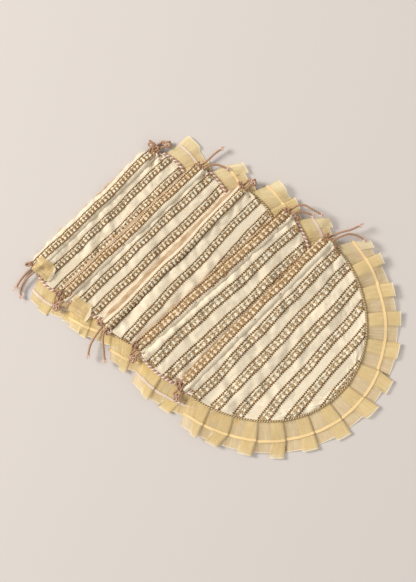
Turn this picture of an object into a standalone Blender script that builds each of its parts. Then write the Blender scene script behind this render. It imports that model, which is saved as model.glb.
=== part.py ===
# A set of five half-moon drawstring pouches with pleated organza frills, laid flat in a
# cascade, each one on the pouch before it. Metres, +Z up, X along the mouths, +Y towards
# the pouch that was laid down first. The set stands on the floor at z = 0.

import math

import bmesh
import bpy
import numpy as np
from mathutils import Matrix, Vector

# The pouches in the order they are laid down. centre and turn place the middle of the mouth
# on the floor; half_width and depth are the half-moon; mouth_half is the half width that the
# drawcord leaves at the mouth; lean is how far the bottom sits to the right for each unit of
# depth; frill_reach is how far the frill shows beyond the seam at the left, the bottom and
# the right; pull_side is the side where the cord's two ends come out.
# end_a leaves the back casing and end_b the front one: each is a route of (distance out from
# the corner, distance down from the mouth).
POUCHES = [
    {
        "name": "pouch_1",
        "centre": (-0.0376, 0.1870),
        "turn": -0.4,
        "half_width": 0.0965,
        "depth": 0.0940,
        "mouth_half": 0.0835,
        "lean": 0.07,
        "frill_reach": (0.0180, 0.0300, 0.0250),
        "pull_side": -1,
        "end_a": [(0.004, 0.0063), (0.012, 0.0064), (0.0195, 0.0076), (0.026, 0.0094)],
        "end_b": [(0.004, 0.0110), (0.012, 0.0106), (0.0195, 0.0118), (0.025, 0.0142), (0.029, 0.0180)],
    },
    {
        "name": "pouch_2",
        "centre": (-0.0273, 0.1440),
        "turn": -1.4,
        "half_width": 0.0985,
        "depth": 0.1000,
        "mouth_half": 0.0950,
        "lean": 0.13,
        "frill_reach": (0.0210, 0.0300, 0.0290),
        "pull_side": 1,
        "end_a": [(0.004, 0.0063), (0.011, 0.0068), (0.019, 0.0068), (0.0265, 0.0078)],
        "end_b": [(0.004, 0.0112), (0.009, 0.0130), (0.0140, 0.0175), (0.0175, 0.0250)],
    },
    {
        "name": "pouch_3",
        "centre": (-0.0151, 0.0970),
        "turn": 0.5,
        "half_width": 0.1015,
        "depth": 0.1120,
        "mouth_half": 0.0975,
        "lean": 0.12,
        "frill_reach": (0.0260, 0.0320, 0.0240),
        "pull_side": -1,
        "end_a": [(0.004, 0.0066), (0.014, 0.0082), (0.023, 0.0110), (0.031, 0.0160)],
        "end_b": [(0.004, 0.0114), (0.010, 0.0160), (0.0170, 0.0240), (0.0228, 0.0310)],
    },
    {
        "name": "pouch_4",
        "centre": (-0.0024, 0.0521),
        "turn": -2.4,
        "half_width": 0.1040,
        "depth": 0.1160,
        "mouth_half": 0.1010,
        "lean": -0.1,
        "frill_reach": (0.0220, 0.0340, 0.0280),
        "pull_side": 1,
        "end_a": [(0.004, 0.0064), (0.0115, 0.0080), (0.0165, 0.0125), (0.0185, 0.0190), (0.0220, 0.0290)],
        "end_b": [(0.004, 0.0114), (0.0085, 0.0140), (0.0120, 0.0185), (0.0150, 0.0240)],
    },
    {
        "name": "pouch_5",
        "centre": (0.0035, 0.0000),
        "turn": 0.7,
        "half_width": 0.1045,
        "depth": 0.1225,
        "mouth_half": 0.1040,
        "lean": 0.03,
        "frill_reach": (0.0360, 0.0365, 0.0255),
        "pull_side": 1,
        "end_a": [(0.004, 0.0070), (0.011, 0.0098), (0.0175, 0.0132), (0.0220, 0.0160), (0.0310, 0.0195)],
        "end_b": [(0.004, 0.0116), (0.011, 0.0142), (0.0175, 0.0175), (0.0220, 0.0235), (0.0245, 0.0315)],
    },
]

# Cloth
PANEL_THICK = 0.0008
PANEL_VOID = 0.0005  # air between the front and the back of an empty pouch
GAP = 0.0004  # clearance between neighbouring pieces
STACK_CLEAR = 0.0003  # what is left between a pouch's trimmings and the pouch lying on them
DROP_LENGTH = 0.028  # how far a pouch takes to come down off the edge of the one below
GATHER_LENGTH = 0.045  # how far below the mouth the drawing-in dies out
PANEL_RUNGS = 20
PANEL_STRIPS = 3

# Casings: a hem round each side of the mouth, with a tunnel for the cord
HEADER = 0.0035  # cloth above the tunnel
TUNNEL = 0.0095
TUNNEL_HIGH = 0.0028
CASING_WALL = 0.0004
STRAND_A = 0.0063  # how far below the mouth the cord runs in the back casing
STRAND_B = 0.0110  # and in the front casing
CASING_DROP = 0.030  # how far the front panel takes to come up to its casing

# Drawcord
CORD_RADIUS = 0.0011
CORD_STEP = 0.0068
LOOP_LEG = 0.0085
LOOP_REACH = 0.0165
LOOP_SWELL = 0.0022
LOOP_DROP = 0.0055  # how far the loop sinks towards the frill
TIP_RADIUS = 0.0015
TIP_LENGTH = 0.0042

# Seam braid, frill and the ribbon stitched on it
BRAID_RADIUS = 0.0010
BRAID_STEP = 0.0085
FRILL_START = 0.0170  # how far below the mouth the frill begins
FRILL_UNDER_SHARE = 0.92  # how far the under layer reaches beside the folded tabs
FRILL_PITCH = 0.0250
FRILL_LIFT = 0.0003
FRILL_THIN = 0.0004
FRILL_THICK = 0.0012
RIBBON_SHARE = 0.56  # where the ribbon crosses the frill, from the seam outwards
RIBBON_WIDTH = 0.0030
RIBBON_THICK = 0.0003
RIBBON_STEP = 0.0085

CASING_DEPTH = HEADER + TUNNEL + 2 * CASING_WALL
CASING_HIGH = TUNNEL_HIGH + 2 * CASING_WALL
PANEL_TOP = CASING_DEPTH + GAP
FRONT_RISE = PANEL_THICK + PANEL_VOID
FRONT_CASING_RISE = CASING_HIGH + GAP
BRAID_OUT = GAP + BRAID_RADIUS
BRAID_TOP = FRILL_LIFT + 2 * BRAID_RADIUS
FRILL_INNER = 3 * GAP + 2 * BRAID_RADIUS
FRILL_TOP = FRILL_LIFT + FRILL_THICK
RIBBON_TOP = FRILL_TOP + GAP + RIBBON_THICK
LAYER = max(BRAID_TOP, RIBBON_TOP) + STACK_CLEAR  # how much one pouch raises the next

# Colour (red, green, blue), roughness
LOOKS = {
    "back_panel": ((0.76, 0.64, 0.46), 0.85),
    "front_panel": ((0.83, 0.73, 0.55), 0.85),
    "back_casing": ((0.78, 0.64, 0.48), 0.85),
    "front_casing": ((0.84, 0.72, 0.56), 0.85),
    "seam_braid": ((0.52, 0.30, 0.17), 0.60),
    "frill": ((0.72, 0.52, 0.22), 0.45),
    "frill_ribbon": ((0.84, 0.64, 0.32), 0.40),
    "drawcord": ((0.26, 0.11, 0.055), 0.35),
    "cord_tip_a": ((0.74, 0.50, 0.42), 0.50),
    "cord_tip_b": ((0.74, 0.50, 0.42), 0.50),
}


def clear_scene():
    for item in list(bpy.data.objects):
        bpy.data.objects.remove(item, do_unlink=True)


def smooth(value):
    part = min(1.0, max(0.0, value))
    return part * part * (3.0 - 2.0 * part)


# Heights of the cascade

def frill_end(pouch):
    """World Y of the lowest edge of a pouch's frill."""
    reach = pouch["depth"] + pouch["frill_reach"][1]
    return pouch["centre"][1] - reach * math.cos(math.radians(pouch["turn"]))


def to_world(pouch, x, down):
    turn = math.radians(pouch["turn"])
    world_x = pouch["centre"][0] + x * math.cos(turn) + down * math.sin(turn)
    world_y = pouch["centre"][1] + x * math.sin(turn) - down * math.cos(turn)
    return world_x, world_y


def stack_height(pouch, world_y):
    """Height of the pouches underneath, which fades out below each one's frill."""
    height = 0.0
    for lower in POUCHES[: POUCHES.index(pouch)]:
        past = frill_end(lower) - GAP - world_y
        height += LAYER * (1.0 - smooth(past / DROP_LENGTH))
    return height


def mouth_height(pouch):
    corners = [to_world(pouch, side * pouch["mouth_half"], 0.0)[1] for side in (-1, 1)]
    return stack_height(pouch, max(corners))


def base_height(pouch, x, down):
    """Height of a pouch's underside: level under the casings, then down the cascade."""
    level = 1.0 - smooth((down - PANEL_TOP) / CASING_DROP)
    lying = stack_height(pouch, to_world(pouch, x, down)[1])
    return level * mouth_height(pouch) + (1.0 - level) * lying


# The seam round the half-moon: angle 0 is the right-hand corner and pi the left-hand one

def half_width_at(pouch, down):
    ratio = down / pouch["depth"]
    full = pouch["half_width"] * math.sqrt(max(0.0, 1.0 - ratio * ratio))
    drawn_in = 1.0 - pouch["mouth_half"] / pouch["half_width"]
    return full * (1.0 - drawn_in * (1.0 - smooth(down / GATHER_LENGTH)))


def seam_point(pouch, angle, out=0.0):
    """(x, distance down) on the seam, moved outwards by out."""

    def on_seam(at):
        down = pouch["depth"] * math.sin(at)
        side = 1.0 if math.cos(at) >= 0.0 else -1.0
        return Vector((side * half_width_at(pouch, down) + pouch["lean"] * down, down))

    here = on_seam(angle)
    along = (on_seam(angle + 0.01) - on_seam(angle - 0.01)).normalized()
    outwards = Vector((along.y, -along.x))
    return here + outwards * out


def seam_angles(pouch, start_down, step):
    """Angles from the left end to the right, evenly spaced along the seam."""
    first = math.asin(start_down / pouch["depth"])
    angles = np.linspace(math.pi - first, first, 600)
    points = [seam_point(pouch, angle) for angle in angles]
    lengths = [0.0]
    for before, after in zip(points, points[1:]):
        lengths.append(lengths[-1] + (after - before).length)
    count = max(2, round(lengths[-1] / step))
    return np.interp(np.linspace(0.0, lengths[-1], count + 1), lengths, angles), count


# Meshes

def spot(pouch, x, down, above):
    """Point in the pouch's own frame, at a height above its underside."""
    return Vector((x, -down, base_height(pouch, x, down) + above))


def mesh_object(pouch, part, build):
    name = pouch["name"] + "_" + part
    mesh = bpy.data.meshes.new(name)
    shape = bmesh.new()
    build(shape)
    bmesh.ops.recalc_face_normals(shape, faces=shape.faces)
    shape.to_mesh(mesh)
    shape.free()
    item = bpy.data.objects.new(name, mesh)
    finish_object(pouch, part, item)
    return item


def finish_object(pouch, part, item):
    colour, roughness = LOOKS[part]
    material = bpy.data.materials.new(item.name)
    material.use_nodes = True
    surface = material.node_tree.nodes["Principled BSDF"]
    surface.inputs["Base Color"].default_value = (*colour, 1.0)
    surface.inputs["Roughness"].default_value = roughness
    surface.inputs["Metallic"].default_value = 0.0
    item.data.materials.append(material)
    bpy.context.collection.objects.link(item)
    item.parent = bpy.data.objects[pouch["name"] + "_mouth"]


def loft(shape, rings):
    """Closed body through rings of the same number of points, with flat ends."""
    rows = [[shape.verts.new(point) for point in ring] for ring in rings]
    for before, after in zip(rows, rows[1:]):
        for place, vertex in enumerate(before):
            follow = (place + 1) % len(before)
            shape.faces.new((vertex, before[follow], after[follow], after[place]))
    shape.faces.new(rows[0])
    shape.faces.new(rows[-1])


def front_rise(down):
    raised = FRONT_CASING_RISE - FRONT_RISE
    return FRONT_RISE + raised * (1.0 - smooth((down - PANEL_TOP) / CASING_DROP))


def panel_ring(pouch, down, rise):
    across = np.linspace(-1.0, 1.0, PANEL_STRIPS + 1) * half_width_at(pouch, down)
    across += pouch["lean"] * down
    under = [spot(pouch, x, down, rise) for x in across]
    over = [spot(pouch, x, down, rise + PANEL_THICK) for x in reversed(across)]
    return under + over


def panel(pouch, part, rise_at):
    first = math.asin(PANEL_TOP / pouch["depth"])
    last = math.radians(86.5)
    downs = [pouch["depth"] * math.sin(angle) for angle in np.linspace(first, last, PANEL_RUNGS)]

    def build(shape):
        loft(shape, [panel_ring(pouch, down, rise_at(down)) for down in downs])

    return mesh_object(pouch, part, build)


def casing(pouch, part, rise):
    """Flat hem with a tunnel right through it for the cord."""
    low = mouth_height(pouch) + rise
    outer = [(0.0, low), (-CASING_DEPTH, low)]
    outer += [(-CASING_DEPTH, low + CASING_HIGH), (0.0, low + CASING_HIGH)]
    top = -HEADER - CASING_WALL
    floor = low + CASING_WALL
    inner = [(top, floor), (top - TUNNEL, floor)]
    inner += [(top - TUNNEL, floor + TUNNEL_HIGH), (top, floor + TUNNEL_HIGH)]

    def build(shape):
        ends = []
        for x in (-pouch["mouth_half"], pouch["mouth_half"]):
            ends.append([[shape.verts.new((x, y, z)) for y, z in ring] for ring in (outer, inner)])
        left, right = ends
        for place in range(4):
            follow = (place + 1) % 4
            for ring in (0, 1):
                wall = (left[ring][place], left[ring][follow], right[ring][follow], right[ring][place])
                shape.faces.new(wall)
            for end in ends:
                shape.faces.new((end[0][place], end[0][follow], end[1][follow], end[1][place]))

    return mesh_object(pouch, part, build)


def frill_out(pouch, angle, share):
    """Distance outwards from the seam at a share of the frill's own width."""
    left, bottom, right = pouch["frill_reach"]
    side = right if math.cos(angle) >= 0.0 else left
    reach = side + (bottom - side) * math.sin(angle)
    return FRILL_INNER + share * (reach - FRILL_INNER)


def frill_ring(pouch, angle, reach_share, thickness):
    """Cross-section of the frill from the seam outwards."""
    outs = [frill_out(pouch, angle, share * reach_share) for share in (0.0, 0.3, 0.6, 1.0)]
    places = [seam_point(pouch, angle, out) for out in outs]
    under = [spot(pouch, place.x, place.y, FRILL_LIFT) for place in places]
    over = [spot(pouch, place.x, place.y, FRILL_LIFT + thickness) for place in reversed(places)]
    return under + over


def frill(pouch):
    """Knife pleats: each tab thickens towards its leading fold, then steps down to the next."""
    angles, count = seam_angles(pouch, FRILL_START, FRILL_PITCH)
    grow = FRILL_THICK - FRILL_THIN
    stages = [(0.01, FRILL_UNDER_SHARE, 0.0), (0.5, FRILL_UNDER_SHARE, 0.5)]
    stages += [(0.52, 1.0, 0.6), (0.99, 1.0, 1.0)]

    def build(shape):
        rings = []
        for tab in range(count):
            for share, reach_share, growth in stages:
                angle = angles[tab] + share * (angles[tab + 1] - angles[tab])
                rings.append(frill_ring(pouch, angle, reach_share, FRILL_THIN + growth * grow))
        loft(shape, rings)

    return mesh_object(pouch, "frill", build)


def frill_ribbon(pouch):
    angles, _ = seam_angles(pouch, FRILL_START, RIBBON_STEP)
    low = FRILL_TOP + GAP

    def ring(angle):
        middle = frill_out(pouch, angle, RIBBON_SHARE)
        inner = seam_point(pouch, angle, middle - RIBBON_WIDTH / 2)
        outer = seam_point(pouch, angle, middle + RIBBON_WIDTH / 2)
        corners = [(inner, low), (outer, low), (outer, RIBBON_TOP), (inner, RIBBON_TOP)]
        return [spot(pouch, place.x, place.y, above) for place, above in corners]

    def build(shape):
        loft(shape, [ring(angle) for angle in angles])

    return mesh_object(pouch, "frill_ribbon", build)


# Cords and braid

def tube(pouch, part, points, radius, resolution):
    name = pouch["name"] + "_" + part
    curve = bpy.data.curves.new(name, "CURVE")
    curve.dimensions = "3D"
    curve.bevel_depth = radius
    curve.bevel_resolution = resolution
    curve.use_fill_caps = True
    line = curve.splines.new("POLY")
    line.points.add(len(points) - 1)
    for knot, point in zip(line.points, points):
        knot.co = (*point, 1.0)
        knot.radius = 1.0
    item = bpy.data.objects.new(name, curve)
    finish_object(pouch, part, item)
    return item


def seam_braid(pouch):
    angles, _ = seam_angles(pouch, PANEL_TOP, BRAID_STEP)
    places = [seam_point(pouch, angle, BRAID_OUT) for angle in angles]
    points = [spot(pouch, place.x, place.y, FRILL_LIFT + BRAID_RADIUS) for place in places]
    return tube(pouch, "seam_braid", points, BRAID_RADIUS, 1)


def smooth_line(route):
    """Dense points of a smooth curve through a route."""
    ends = [route[0] * 2 - route[1], *route, route[-1] * 2 - route[-2]]
    dense = []
    for a, b, c, d in zip(ends, ends[1:], ends[2:], ends[3:]):
        for t in np.linspace(0.0, 1.0, 24, endpoint=False):
            bend = b * 2 + (c - a) * t + (a * 2 - b * 5 + c * 4 - d) * t**2
            dense.append((bend + (b * 3 - a - c * 3 + d) * t**3) / 2)
    return [*dense, route[-1]]


def even_points(line, step):
    lengths = [0.0]
    for before, after in zip(line, line[1:]):
        lengths.append(lengths[-1] + (after - before).length)
    marks = np.linspace(0.0, lengths[-1], round(lengths[-1] / step) + 1)
    axes = [np.interp(marks, lengths, [point[axis] for point in line]) for axis in range(3)]
    return [Vector(point) for point in zip(*axes)]


def free_end(pouch, route, leave):
    """From the casing down to where the loose end lies on the frills."""
    points = []
    for place, (out, down) in enumerate(route):
        x = pouch["pull_side"] * (pouch["mouth_half"] + out)
        lying = base_height(pouch, x, down) + RIBBON_TOP + GAP + TIP_RADIUS
        fallen = smooth(place / (len(route) - 1))
        points.append(Vector((x, -down, leave + fallen * (lying - leave))))
    return points


def cord_route(pouch):
    """One cord: loose end, back casing, loop at the far corner, front casing, loose end."""
    low = mouth_height(pouch) + CASING_HIGH / 2
    high = low + FRONT_CASING_RISE
    pull = pouch["pull_side"]
    near = pull * (pouch["mouth_half"] - 0.004)
    far = -pull * pouch["mouth_half"]
    leg = far - pull * LOOP_LEG
    turn = far - pull * (LOOP_LEG + LOOP_REACH) / 2
    tip = far - pull * LOOP_REACH
    middle = (STRAND_A + STRAND_B) / 2
    start = list(reversed(free_end(pouch, pouch["end_a"], low)))
    back = [Vector((near, -STRAND_A, low)), Vector((0.0, -STRAND_A, low))]
    back += [Vector((far + pull * 0.004, -STRAND_A, low)), Vector((leg, -STRAND_A, low))]
    sunk = 0.4 * LOOP_DROP
    loop = [Vector((turn, LOOP_SWELL - STRAND_A - sunk, low + 0.2 * (high - low)))]
    loop += [Vector((tip, -middle - LOOP_DROP, (low + high) / 2))]
    loop += [Vector((turn, -STRAND_B - LOOP_SWELL - sunk, high - 0.2 * (high - low)))]
    front = [Vector((leg, -STRAND_B, high)), Vector((far + pull * 0.004, -STRAND_B, high))]
    front += [Vector((0.0, -STRAND_B, high)), Vector((near, -STRAND_B, high))]
    return start + back + loop + front + free_end(pouch, pouch["end_b"], high)


def cord_tip(pouch, part, end, before):
    """Sealed end of the cord: a short nub, rounded at both faces."""
    direction = (end - before).normalized()
    turned = direction.to_track_quat("Z", "Y").to_matrix()
    profile = [(0.0, 0.55), (0.25, 1.0), (0.75, 1.0), (1.0, 0.5)]

    def build(shape):
        rings = []
        for along, wide in profile:
            ring = []
            for side in range(8):
                angle = side * math.tau / 8
                flat = Vector((math.cos(angle), math.sin(angle), 0.0)) * TIP_RADIUS * wide
                ring.append(end + turned @ (flat + Vector((0.0, 0.0, GAP + along * TIP_LENGTH))))
            rings.append(ring)
        loft(shape, rings)

    return mesh_object(pouch, part, build)


def drawcord(pouch):
    points = even_points(smooth_line(cord_route(pouch)), CORD_STEP)
    tube(pouch, "drawcord", points, CORD_RADIUS, 2)
    cord_tip(pouch, "cord_tip_a", points[0], points[1])
    cord_tip(pouch, "cord_tip_b", points[-1], points[-2])


# The set

def add_empty(name, place, parent=None):
    empty = bpy.data.objects.new(name, None)
    empty.matrix_world = place
    bpy.context.collection.objects.link(empty)
    empty.parent = parent
    return empty


def build_pouch(pouch, table):
    turn = Matrix.Rotation(math.radians(pouch["turn"]), 4, "Z")
    add_empty(pouch["name"] + "_mouth", Matrix.Translation((*pouch["centre"], 0.0)) @ turn, table)
    panel(pouch, "back_panel", lambda down: 0.0)
    panel(pouch, "front_panel", front_rise)
    casing(pouch, "back_casing", 0.0)
    casing(pouch, "front_casing", FRONT_CASING_RISE)
    seam_braid(pouch)
    frill(pouch)
    frill_ribbon(pouch)
    drawcord(pouch)


def centre_on_origin(table):
    """Puts the middle of the set, without its cords, over the origin."""
    bpy.context.view_layer.update()
    low = Vector((math.inf, math.inf))
    high = Vector((-math.inf, -math.inf))
    for item in bpy.data.objects:
        if item.type != "MESH" or "cord_tip" in item.name:
            continue
        for vertex in item.data.vertices:
            place = (item.matrix_world @ vertex.co).to_2d()
            low = Vector(map(min, low, place))
            high = Vector(map(max, high, place))
    middle = (low + high) / 2
    table.location = (-middle.x, -middle.y, 0.0)
    bpy.context.view_layer.update()


clear_scene()
cascade = add_empty("cascade", Matrix.Identity(4))
for each in POUCHES:
    build_pouch(each, cascade)
centre_on_origin(cascade)
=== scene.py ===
import math
import random

import bpy
import numpy as np
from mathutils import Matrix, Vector, noise


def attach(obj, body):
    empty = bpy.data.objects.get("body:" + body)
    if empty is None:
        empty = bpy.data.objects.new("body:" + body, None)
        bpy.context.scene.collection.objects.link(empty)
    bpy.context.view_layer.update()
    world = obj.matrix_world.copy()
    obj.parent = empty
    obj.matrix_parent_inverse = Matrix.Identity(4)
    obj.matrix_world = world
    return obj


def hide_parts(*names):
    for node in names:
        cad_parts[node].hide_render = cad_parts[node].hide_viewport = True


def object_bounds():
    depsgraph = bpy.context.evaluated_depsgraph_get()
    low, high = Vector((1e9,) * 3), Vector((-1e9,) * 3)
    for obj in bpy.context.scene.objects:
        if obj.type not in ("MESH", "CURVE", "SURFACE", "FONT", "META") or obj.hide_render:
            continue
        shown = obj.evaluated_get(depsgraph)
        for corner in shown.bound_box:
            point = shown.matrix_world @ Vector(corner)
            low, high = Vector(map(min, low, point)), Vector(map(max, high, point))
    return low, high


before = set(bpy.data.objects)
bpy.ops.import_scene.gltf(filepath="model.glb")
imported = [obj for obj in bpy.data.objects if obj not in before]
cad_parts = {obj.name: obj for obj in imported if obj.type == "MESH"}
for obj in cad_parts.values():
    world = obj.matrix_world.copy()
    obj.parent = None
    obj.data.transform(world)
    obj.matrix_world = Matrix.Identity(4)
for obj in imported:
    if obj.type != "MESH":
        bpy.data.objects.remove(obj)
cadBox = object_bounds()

mm = 0.001
pouchNames = ["pouch_1", "pouch_2", "pouch_3", "pouch_4", "pouch_5"]


# Small tools for numbers and points

def ease(value):
    part = min(1.0, max(0.0, value))
    return part * part * (3.0 - 2.0 * part)


def mix(a, b, share):
    return a + (b - a) * share


def rough(x, y, z):
    # smooth noise between about -1 and 1
    return noise.noise(Vector((x, y, z)))


def smoothLine(route, steps=24):
    # dense points of a smooth curve through a route
    ends = [route[0] * 2 - route[1], *route, route[-1] * 2 - route[-2]]
    dense = []
    for a, b, c, d in zip(ends, ends[1:], ends[2:], ends[3:]):
        for t in np.linspace(0.0, 1.0, steps, endpoint=False):
            bend = b * 2 + (c - a) * t + (a * 2 - b * 5 + c * 4 - d) * t**2
            dense.append((bend + (b * 3 - a - c * 3 + d) * t**3) / 2)
    return [*dense, route[-1]]


def runningLength(points):
    lengths = [0.0]
    for before, after in zip(points, points[1:]):
        lengths.append(lengths[-1] + (after - before).length)
    return lengths


def evenPoints(line, step):
    lengths = runningLength(line)
    marks = np.linspace(0.0, lengths[-1], max(2, round(lengths[-1] / step)) + 1)
    axes = [np.interp(marks, lengths, [point[axis] for point in line]) for axis in range(3)]
    return [Vector(point) for point in zip(*axes)]


# Camera, light and floor

studio = {
    "middle": (-0.0083, 0.0272),  # where the camera looks, from the middle of the set
    "roll": -44.5,
    "height": 1.6,
    "halfTall": 0.291,  # half of what the frame shows from top to bottom
    "sensor": 36.0,
    "skyColour": (1.0, 0.975, 0.95),
    "skyStrength": 0.50,
    "floorColour": (0.662, 0.615, 0.582),
    "floorMottle": 0.015,
    "floorWide": 8.0,
    "floorDrop": 0.2 * mm,
}

# soft round lamps, all turned to the middle of the set
lamps = {
    "keyLamp": {"place": (-1.6, 3.3, 2.7), "wide": 1.7, "power": 208.0, "colour": (1.0, 0.97, 0.93)},
    "fillLamp": {"place": (0.9, -1.0, 1.5), "wide": 1.6, "power": 2.0, "colour": (0.96, 0.98, 1.0)},
}


def addCamera():
    camera = bpy.data.objects.new("camera", bpy.data.cameras.new("camera"))
    bpy.context.collection.objects.link(camera)
    camera.data.sensor_width = studio["sensor"]
    camera.data.lens = studio["sensor"] / 2 * studio["height"] / studio["halfTall"]
    camera.data.clip_end = 20.0
    camera.location = (*studio["middle"], studio["height"])
    camera.rotation_euler = (0.0, 0.0, math.radians(studio["roll"]))
    bpy.context.scene.camera = camera


def addLamp(name, facts):
    lamp = bpy.data.lights.new(name, "AREA")
    lamp.shape = "DISK"
    lamp.size = facts["wide"]
    lamp.energy = facts["power"]
    lamp.color = facts["colour"]
    item = bpy.data.objects.new(name, lamp)
    item.location = facts["place"]
    item.rotation_euler = (-Vector(facts["place"])).to_track_quat("-Z", "Y").to_euler()
    bpy.context.collection.objects.link(item)


def addSky():
    world = bpy.data.worlds.new("studioSky")
    world.use_nodes = True
    sky = world.node_tree.nodes["Background"]
    sky.inputs["Color"].default_value = (*studio["skyColour"], 1.0)
    sky.inputs["Strength"].default_value = studio["skyStrength"]
    bpy.context.scene.world = world
    bpy.context.scene.view_settings.view_transform = "Standard"  # cloth colours as they are


def addFloor():
    under = (0, 0, cadBox[0][2] - studio["floorDrop"])
    bpy.ops.mesh.primitive_plane_add(size=studio["floorWide"], location=under)
    floor = bpy.context.object
    floor.name = "floor"
    shade = Shader("paleTable")
    spots = shade.node("ShaderNodeTexNoise", inputs={"Scale": 2.2, "Detail": 3.0})
    base = np.array(studio["floorColour"])
    dark, light = base * (1 - studio["floorMottle"]), base * (1 + studio["floorMottle"])
    floor.data.materials.append(shade.finish(shade.ramp(spots, [(0.3, dark), (0.7, light)]), 0.85))


# Shader tools: a wire is one socket, and sums on wires add their nodes

class Wire:
    def __init__(self, shade, socket):
        self.shade = shade
        self.socket = socket

    def maths(self, operation, *others):
        inputs = dict(enumerate([self, *others]))
        return self.shade.node("ShaderNodeMath", {"operation": operation}, inputs)

    def __add__(self, other):
        return self.maths("ADD", other)

    __radd__ = __add__

    def __sub__(self, other):
        return self.maths("SUBTRACT", other)

    def __rsub__(self, other):
        return self.shade.node("ShaderNodeMath", {"operation": "SUBTRACT"}, {0: other, 1: self})

    def __mul__(self, other):
        return self.maths("MULTIPLY", other)

    __rmul__ = __mul__

    def __truediv__(self, other):
        return self.maths("DIVIDE", other)

    def __gt__(self, other):
        return self.maths("GREATER_THAN", other)

    def __lt__(self, other):
        return self.maths("LESS_THAN", other)


class Shader:
    def __init__(self, name):
        self.material = bpy.data.materials.new(name)
        self.material.use_nodes = True
        self.tree = self.material.node_tree
        self.tree.nodes.clear()

    def node(self, kind, settings=None, inputs=None, output=0):
        made = self.tree.nodes.new(kind)
        for key, value in (settings or {}).items():
            if key == "stops":
                setStops(made.color_ramp, value)
            else:
                setattr(made, key, value)
        for key, value in (inputs or {}).items():
            if isinstance(value, Wire):
                self.tree.links.new(value.socket, made.inputs[key])
            else:
                made.inputs[key].default_value = value
        return Wire(self, made.outputs[output]) if made.outputs else None

    def cloth(self):
        # the piece's own cloth coordinates, in millimetres across and down
        place = self.node("ShaderNodeUVMap", {"uv_map": "cloth"})
        across = self.node("ShaderNodeSeparateXYZ", inputs={0: place}, output=0)
        down = self.node("ShaderNodeSeparateXYZ", inputs={0: place}, output=1)
        return across * 1000.0, down * 1000.0

    def spots(self, across, down, scale, detail=2.0):
        place = self.node("ShaderNodeCombineXYZ", inputs={0: across, 1: down})
        return self.node("ShaderNodeTexNoise", inputs={"Vector": place, "Scale": scale, "Detail": detail})

    def ramp(self, value, stops):
        return self.node("ShaderNodeValToRGB", {"stops": stops}, {0: value})

    def colours(self, share, first, second):
        inputs = {0: share, 6: self.rgba(first), 7: self.rgba(second)}
        return self.node("ShaderNodeMix", {"data_type": "RGBA"}, inputs, output=2)

    def rgba(self, colour):
        return colour if isinstance(colour, Wire) else (*colour, 1.0)

    def bump(self, height, depth, strength=1.0):
        return self.node("ShaderNodeBump", inputs={"Height": height, "Distance": depth, "Strength": strength})

    def finish(self, colour, roughness=0.8, normal=None, **sockets):
        inputs = {"Base Color": self.rgba(colour), "Roughness": roughness}
        if normal:
            inputs["Normal"] = normal
        for name, value in sockets.items():
            inputs[name.replace("_", " ")] = value
        surface = self.node("ShaderNodeBsdfPrincipled", inputs=inputs)
        self.node("ShaderNodeOutputMaterial", inputs={0: surface})
        return self.material


def setStops(ramp, stops):
    while len(ramp.elements) < len(stops):
        ramp.elements.new(0.5)
    for element, (place, colour) in zip(ramp.elements, stops):
        element.position = place
        element.color = (*colour, 1.0)


# Mesh tools

def meshPiece(name, points, faces, material, cloth):
    # cloth holds each point's place on the unfolded cloth, in metres
    mesh = bpy.data.meshes.new(name)
    mesh.from_pydata([tuple(point) for point in points], [], faces)
    mesh.materials.append(material)
    layer = mesh.uv_layers.new(name="cloth")
    corners = np.zeros(len(mesh.loops), dtype=np.int32)
    mesh.loops.foreach_get("vertex_index", corners)
    layer.data.foreach_set("uv", np.asarray(cloth, dtype=np.float32)[corners].ravel())
    mesh.shade_smooth()
    item = bpy.data.objects.new(name, mesh)
    bpy.context.collection.objects.link(item)
    return item


def gridFaces(rows, columns, closed=False):
    faces = []
    for row in range(rows - 1):
        for column in range(columns if closed else columns - 1):
            follow = (column + 1) % columns
            low, high = row * columns, (row + 1) * columns
            faces.append((low + column, low + follow, high + follow, high + column))
    return faces


def tubePiece(name, line, radius, material, sides=8):
    # a round tube along a line, with cloth coordinates round and along it
    tangents = [(after - before).normalized() for before, after in zip(line, line[1:])]
    tangents.append(tangents[-1])
    side = tangents[0].orthogonal().normalized()
    points = []
    cloth = []
    for point, along, length in zip(line, tangents, runningLength(line)):
        side = (side - along * side.dot(along)).normalized()
        other = along.cross(side)
        for turn in range(sides + 1):
            angle = math.tau * turn / sides
            points.append(point + (side * math.cos(angle) + other * math.sin(angle)) * radius)
            cloth.append((angle * radius, length))
    return meshPiece(name, points, gridFaces(len(line), sides + 1), material, cloth)


def copies(name, places, shape, faces, material):
    # one mesh of many small copies: each place is (middle, across, down, up) vectors
    points = []
    allFaces = []
    cloth = []
    for middle, across, down, up in places:
        start = len(points)
        wide, deep = across.length, down.length
        for x, y, z in shape:
            points.append(middle + across * x + down * y + up * z)
            cloth.append((middle.x + x * wide, y * deep))
        allFaces.extend(tuple(start + corner for corner in face) for face in faces)
    return meshPiece(name, points, allFaces, material, cloth)


def settle(piece, body, slot, node=None):
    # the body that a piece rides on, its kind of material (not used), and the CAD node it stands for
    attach(piece, body)
    if node:
        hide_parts(node)


# Where each pouch lies, read from its CAD nodes

layering = {
    "layer": 2.6 * mm,  # how much one pouch raises the next
    "gap": 0.4 * mm,
    "drop": 28 * mm,  # how far a pouch takes to come down past the one below
    "casingDrop": 30 * mm,  # how far the panels take to come down from the casings
    "panelEnd": math.radians(86.5),  # where the CAD panel's last rung lies
    "frillStart": 17 * mm,
}


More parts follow.
